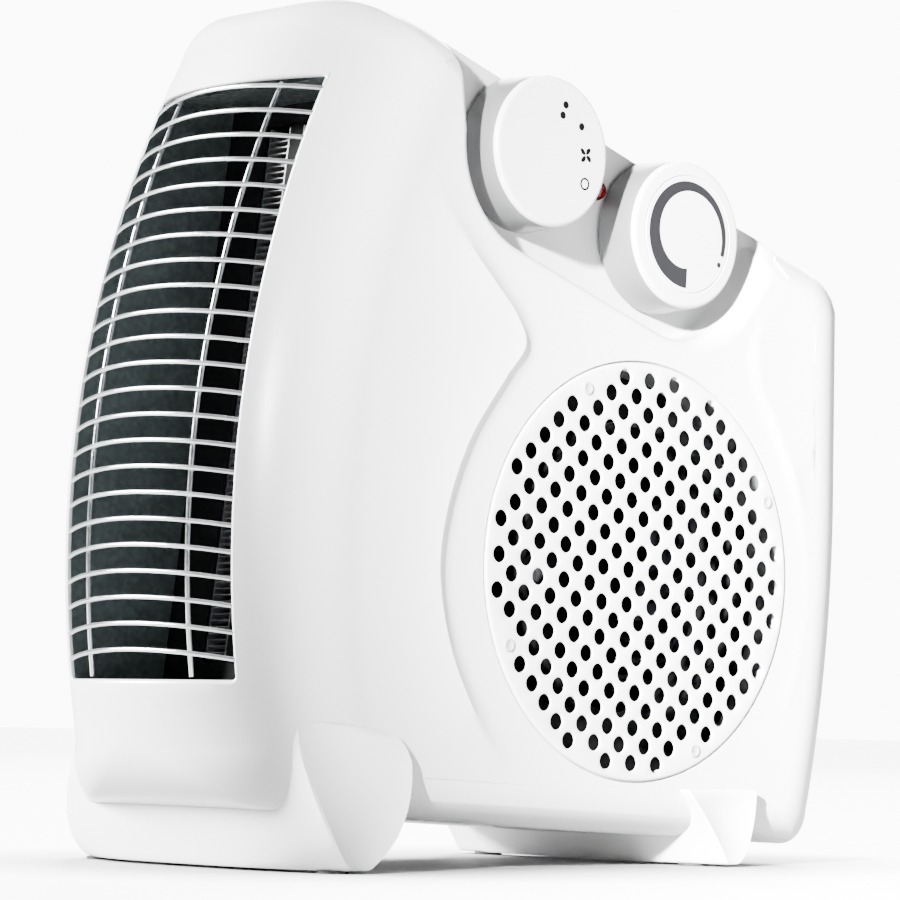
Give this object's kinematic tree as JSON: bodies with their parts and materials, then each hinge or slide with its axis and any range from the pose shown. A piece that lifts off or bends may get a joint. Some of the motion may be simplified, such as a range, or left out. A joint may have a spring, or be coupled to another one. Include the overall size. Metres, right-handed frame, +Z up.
{
  "type": "fan heater",
  "caption": "Upright ceramic fan heater: curved guarded warm-air outlet in front, round intake grille and two knobs on the right side, sloping top and two cross feet.",
  "frame": {"origin": "on the ground, below the middle of the heater", "axes": "+Z up; +X across the narrow width towards the intake grille and knobs; -Y towards the warm-air outlet, +Y towards the back"},
  "size_m": [0.122, 0.2453, 0.25],
  "materials": {
    "shell_white": "satin gloss",
    "grille_white": "satin gloss",
    "foot_white": "satin gloss",
    "knob_white": "satin gloss",
    "guard_chrome": "bright",
    "duct_steel": "galvanised",
    "sheet_steel": "galvanised",
    "black_plastic": "matte",
    "grey_plastic": "matte",
    "cream_plastic": "matte",
    "lens_red": "clear",
    "lamp_glass": "clear",
    "fin_aluminium": "bright",
    "terminal_brass": "plain",
    "steel_bright": "zinc plated",
    "stack_steel": "laminated",
    "coil_copper": "enamelled copper",
    "pad_rubber": "matte",
    "lead_sleeve": "matte"
  },
  "bodies": {
    "heater": {"main_shell": "shell_white", "left_cover": "shell_white", "screw_posts": "shell_white", "case_screws": "steel_bright", "outlet_wires": "guard_chrome", "outlet_uprights": "guard_chrome", "outlet_liner": "duct_steel", "intake_grille": "grille_white", "front_foot": "foot_white", "rear_foot": "foot_white", "foot_pads": "pad_rubber", "foot_screws": "steel_bright", "mode_switch": "grey_plastic", "thermostat": "cream_plastic", "indicator_lens": "lens_red", "neon_lamp": "lamp_glass", "ptc_frame": "black_plastic", "ptc_bars": "black_plastic", "ptc_fins": "fin_aluminium", "ptc_terminals": "terminal_brass", "thermal_cutout": "steel_bright", "thermal_fuse": "steel_bright", "volute_wall": "sheet_steel", "motor_plate": "sheet_steel", "inlet_plate": "sheet_steel", "stator": "stack_steel", "motor_coil": "coil_copper", "front_bearing": "steel_bright", "rear_bearing": "steel_bright", "motor_screws": "steel_bright", "tip_switch": "grey_plastic", "tip_spring": "steel_bright", "terminal_block": "cream_plastic", "cord_bush": "black_plastic", "supply_leads": "lead_sleeve"},
    "mode_dial": {"mode_knob": "knob_white", "mode_spindle": "cream_plastic"},
    "heat_dial": {"heat_knob": "knob_white", "heat_spindle": "steel_bright"},
    "fan": {"impeller": "black_plastic", "shaft": "steel_bright", "rotor": "stack_steel"},
    "tip_pin": {"tip_plunger": "grey_plastic"}
  },
  "joints": [
    {"name": "mode_turn", "type": "hinge", "parent": "heater", "child": "mode_dial", "pos_m": [0.0435, -0.01304, 0.20875], "axis": [1, 0, 0], "range_deg": [-108, 0]},
    {"name": "heat_turn", "type": "hinge", "parent": "heater", "child": "heat_dial", "pos_m": [0.0435, 0.04264, 0.18925], "axis": [1, 0, 0], "range_deg": [-118, 170]},
    {"name": "fan_spin", "type": "hinge", "parent": "heater", "child": "fan", "pos_m": [0, 0.026, 0.0876], "axis": [1, 0, 0], "continuous": true},
    {"name": "tip_slide", "type": "slide", "parent": "heater", "child": "tip_pin", "axis": [0, 0, 1], "range_m": [-0.005, 0], "stiffness_N_per_m": 60, "springref_m": -0.012, "deforming": ["tip_spring"]}
  ]
}
